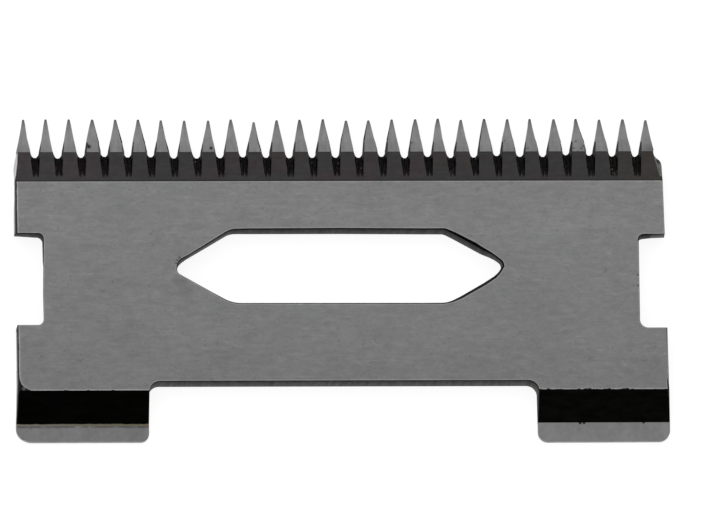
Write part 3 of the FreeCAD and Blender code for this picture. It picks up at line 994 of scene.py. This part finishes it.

# %% [markdown]
# ## The front bevel
# The bevel is dark: partly the thin oxide of the hardening furnace, which is brown-grey with
# greener and more olive stains, and partly a painted dark reflection, since the tilted bevel
# mirrors a dark part of the room. A strip of painted shade darkens it along its upper edge.
# Stains are noise again: one picks between two greys and another, with a high threshold, lays
# the olive on top. Beside the gaps the bevel is painted black for a short way past their edges,
# and a frayed distance from the nearest gap draws it.

# %% Finish of the front bevel
shader, place, x, y = start_finish("front_bevel", 0.45)
stains = noise(place, (480, 650, 200), offset=2.0)
olive = noise(place, (330, 330, 200), detail=2, offset=9.0)
lines = noise(place, (700, 6500, 300), offset=4.0)
blotches = noise(place, (2100, 2600, 300), offset=19.0)
ragged = noise(place, (2300, 2700, 300), offset=14.0)
# The two dark greys are partly oxide and partly a painted dark reflection of the tilted bevel.
oxide_and_reflection = blend(fade(stains, 0.4, 0.6), (0.0455, 0.0385, 0.0405, 1), (0.041, 0.0415, 0.041, 1))
olive_mask = either(fade(olive, 0.62, 0.7, 0.0, 0.8), fade(x, 16.5, 18.8))
oxide_and_reflection = blend(olive_mask, oxide_and_reflection, (0.0445, 0.0405, 0.0365, 1))
# Darker along the upper edge: a strip of painted shade.
bevel_tone = product(fade(x, -19.0, -11.0, 1.17, 1.03), swing(lines, 0.08), swing(blotches, 0.1),
                     fade(y, BEVEL_START_Y + 0.06, BEVEL_START_Y + 0.14, 0.72, 1.0),
                     fade(y, GRIND_LINE_Y - 0.1, GRIND_LINE_Y, 1.0, 0.85))
# Beside the gaps the bevel is painted black for a short way past their edges.
from_gap = arithmetic("PINGPONG", arithmetic("SUBTRACT", x, FIRST_GAP_X), PITCH / 2)
past_edge = arithmetic("SUBTRACT", from_gap, fade(y, 6.15, 7.7, 0.17, 0.26))
black_past_gaps = product(falling(frayed(past_edge, ragged, 0.05), -0.015, 0.015), fade(from_gap, 0.04, 0.07),
                  fade(frayed(y, ragged, 0.07), 6.19, 6.3), window(x, -19.3, -19.2, 19.1, 19.2))
paint(shader, blend(black_past_gaps, tinted(bevel_tone, oxide_and_reflection), (0.006, 0.005, 0.005, 1)))
bumpy(shader, lines, 2e-6)
print("bevel finished")

# %% [markdown]
# ## The gaps
# The floors and walls of the gaps are black, a little brown: partly scale and partly painted
# shade, since the narrow grooves lie in shade and mirror a dark part of the room. Towards its
# shallow upper end each groove, and the ridge in its middle, is painted paler, a painted light.
# Chips of bright steel lie in a few. The two ends of the row were caught by the wheel from the
# side, and there the fresh cut lies open to the room: its brightness is a painted reflection,
# and the right end is painted darker in front as a painted shadow. The flanks between the teeth
# are painted nearly black low down, a painted shade.

# %% Finish of the gaps
# Scale painted paler where the grooves run out shallow, a painted light.
LIT_END_SCALE = (0.036, 0.031, 0.032, 1)
shader, place, x, y = start_finish("gap_trough", 0.6)
soot = noise(place, (6000, 5500, 3000), detail=2)
chips = noise(place, (2600, 1900, 500), detail=1, offset=6.0)
bright_chips = spots(x, y, [(-8.74, 7.35, 0.07), (-2.97, 7.42, 0.08), (-1.6, 7.25, 0.08),
                            (0.0, 7.2, 0.08), (1.33, 6.85, 0.06), (16.7, 6.75, 0.08)])
# Near black: partly scale and partly painted shade of the narrow grooves.
trough = blend(fade(soot, 0.45, 0.65), (0.003, 0.0025, 0.003, 1), (0.017, 0.0125, 0.012, 1))
trough = blend(either(fade(chips, 0.7, 0.76, 0.0, 0.5), bright_chips), trough, (0.09, 0.085, 0.085, 1))
# Towards its shallow upper end the groove is painted paler, a painted light.
run_out = fade(frayed(y, soot, 0.08), 6.17, 6.42, 0.85, 0.0)
paint(shader, blend(run_out, trough, LIT_END_SCALE))
bumpy(shader, soot, 1e-5)

shader, place, x, y = start_finish("gap_ridge", 0.6)
soot = noise(place, (3000, 3000, 3000))
# The ridge is painted paler towards its shallow upper end, a painted light, and darker below.
paint(shader, tinted(product(swing(soot, 0.7), fade(y, 6.35, 6.7, 1.0, 0.15)), LIT_END_SCALE))
bumpy(shader, soot, 1e-5)
print("gaps finished")


# %% Finish of the flanks and the ends of the row
def start_grained(zone, level, roughness, grain, contrast, sheen=1.0):
    """Starts a finish of one grey with a grain of its own. Returns its shader, tone, x and y."""
    shader, place, x, y = start_finish(zone, roughness, sheen)
    marks = noise(place, grain, detail=4)
    bumpy(shader, marks, 3e-6)
    return shader, fade(marks, 0.3, 0.7, level * (1 - contrast), level * (1 + contrast)), x, y


shader, tone, x, y = start_grained("ground_flank", 1.0, 0.4, (1500, 4000, 1500), 0.15)
# Painted shade: the flanks are nearly black low down, between the teeth, and lighter above.
paint(shader, tinted(product(tone, fade(y, 7.95, 8.45, 0.008, 0.3)), (1, 0.98, 0.99, 1)))
# The open left end of the row is painted bright, a painted reflection.
shader, tone = start_grained("end_flank", 0.42, 0.35, (1500, 1500, 2500), 0.12)[:2]
paint(shader, tinted(tone, WHITE))
# The right end is painted paler than the gaps, a painted reflection, and darker in front as a painted
# shadow.
for zone, level, grain, contrast in (("end_ramp", 0.125, (2500, 2500, 2500), 0.3),
                                     ("end_ramp_wall", 0.21, (1500, 1500, 2500), 0.15)):
    shader, tone, x, y = start_grained(zone, level, 0.45, grain, contrast)
    paint(shader, tinted(product(tone, fade(y, 7.1, 7.3, 1.0, 0.3)), (1, 1.01, 0.95, 1)))
print("flanks and row ends finished")

# %% [markdown]
# ## The feet
# The slopes of the feet were pressed down and keep thick black scale, and their near-black is
# also a painted dark reflection, since they tilt back and mirror a dark part of the room. At the
# foot of the left slope the scale has flaked off and shows brown, with a black line behind it.
# On the right the scale bites into the pad in a few places. The pads were ground again, across
# the row.

# %% Finish of the slopes and pads
shader, place, x, y = start_finish("pressed_slope", 0.5)
scale_marks = noise(place, (900, 3000, 900), detail=4)
# The scale's very low grey is also a painted dark reflection of the tilted slope.
scale_and_reflection_tone = product(fade(scale_marks, 0.3, 0.7, 0.5, 1.6), fade(x, -15.0, 15.0, 0.0012, 0.0024))
paint(shader, tinted(scale_and_reflection_tone, (1, 1, 0.85, 1)))
bumpy(shader, scale_marks, 4e-6)

shader, place, x, y = start_finish("foot_pad", 0.4)
pad_marks = noise(place, (2600, 800, 600), detail=4)
pad_mottle = noise(place, (3200, 3200, 600), detail=2, offset=12.0)
pad_clouds = noise(place, (500, 500, 500), detail=2, offset=4.0)
ragged = noise(place, (2200, 600, 600), detail=4, offset=8.0)
broken = noise(place, (1900, 400, 400), detail=4, offset=16.0)
pad_tone = product(fade(x, -12.0, 12.0, 0.18, 0.197), swing(pad_marks, 0.06),
                   swing(pad_mottle, 0.07), swing(pad_clouds, 0.07))
flake_y = frayed(y, ragged, 0.025)
left_foot = falling(x, -2.0, -1.0)
black_line = product(fade(flake_y, -9.23, -9.17), left_foot, fade(broken, 0.36, 0.5), 0.7)
brown_strip = product(fade(y, -9.11, -9.08), left_foot)
brown = blend(fade(x, -18.5, -13.5), (0.145, 0.135, 0.112, 1), (0.13, 0.117, 0.08, 1))
bites = spots(x, y, [(14.38, -8.97, 0.12), (14.62, -8.97, 0.11), (18.26, -8.95, 0.1)])
black_above = either(product(fade(flake_y, -8.98, -8.95), left_foot), bites)
pad_colour = blend(black_line, tinted(pad_tone, (1.0, 0.99, 1.0, 1)), (0.06, 0.055, 0.052, 1))
pad_colour = blend(brown_strip, pad_colour, brown)
paint(shader, blend(black_above, pad_colour, (0.003, 0.003, 0.0025, 1)))
bumpy(shader, pad_marks, 2e-6)

shader, place, x, y = start_finish("pad_edge", 0.42)
edge_marks = noise(place, (1500, 1500, 600))
paint(shader, tinted(product(fade(x, -12.0, 12.0, 0.25, 0.21), swing(edge_marks, 0.2)), WHITE))
print("feet finished")

# %% [markdown]
# ## Walls, rolled edges and the relief
# A punched wall is burnished above and torn below, with streaks that run down it. Nearly all of
# it is dark with scale, painted darkest in the notches as painted shade, and dirt clings along
# its top. The lower part of the left wall is painted bright, and two short stretches elsewhere
# are paler. The relief under the plate was never ground and keeps its scale as well.

# %% Finish of the walls
shader, place, x, y = start_finish("punched_wall", 0.45, sheen=0.6)
z = millimetres(place, "Z")
streaks = noise(place, (3500, 3500, 350), detail=4)
dirt = noise(place, (1100, 1100, 1500), detail=2, offset=23.0)
past_notch = either(fade(y, 2.8, 2.95), falling(y, -3.3, -3.2))
# The lower part of the left wall, painted bright.
bright_lower_left = product(falling(x, -19.5, -19.4), falling(z, 0.6, 0.9), falling(y, 5.1, 5.5), past_notch)
# Painted shade that makes the walls darkest in the notches.
notch_shade = either(window(x, -18.6, -18.3, -18.0, -17.9), window(x, 18.2, 18.35, 18.85, 19.0))
pale = product(fade(x, 18.9, 19.1), window(y, 2.0, 2.1, 2.7, 2.8))
slanted = product(window(x, -9.6, -9.2, -7.2, -6.7), window(y, 1.2, 1.5, 2.7, 2.9))
dirty_top = product(fade(z, 1.1, 1.3), fade(dirt, 0.5, 0.58))
wall_tone = product(swing(streaks, 0.6), fade(z, 0.3, 1.4, 0.062, 0.022),
                    fade(y, -7.35, -7.05, 0.05, 1.0), fade(y, -6.4, -6.0, 1.25, 1.0),
                    fade(y, 5.2, 5.6, 1.0, 0.5), inside(dirty_top, 0.35), inside(notch_shade, 0.3),
                    inside(pale, 2.2), inside(slanted, 1.6))
paint(shader, blend(bright_lower_left, tinted(wall_tone, (1.02, 1.0, 0.98, 1)), (0.55, 0.55, 0.55, 1)))
bumpy(shader, streaks, 3e-6)

shader, tone, x, y = start_grained("rolled_edge", 0.02, 0.45, (2500, 2500, 600), 0.6, sheen=0.45)
black_part = product(window(x, 5.9, 6.3, 10.3, 10.4), window(y, 0.5, 0.7, 3.2, 3.3))
rear_line = product(window(y, -1.9, -1.88, -1.7, -1.66), falling(x, 6.0, 6.6))
tone = product(tone, inside(black_part, 0.15), inside(rear_line, 3.6), fade(x, -19.6, -19.5, 1.8, 1.0))
paint(shader, tinted(tone, (1.0, 0.98, 0.97, 1)))
shader, tone = start_grained("relief", 0.045, 0.5, (900, 2500, 900), 0.35)[:2]
paint(shader, tinted(tone, (1.05, 1.0, 0.95, 1)))
print("walls finished")

# %% Hand the blade over
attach(blade, "root")
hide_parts(NODE)
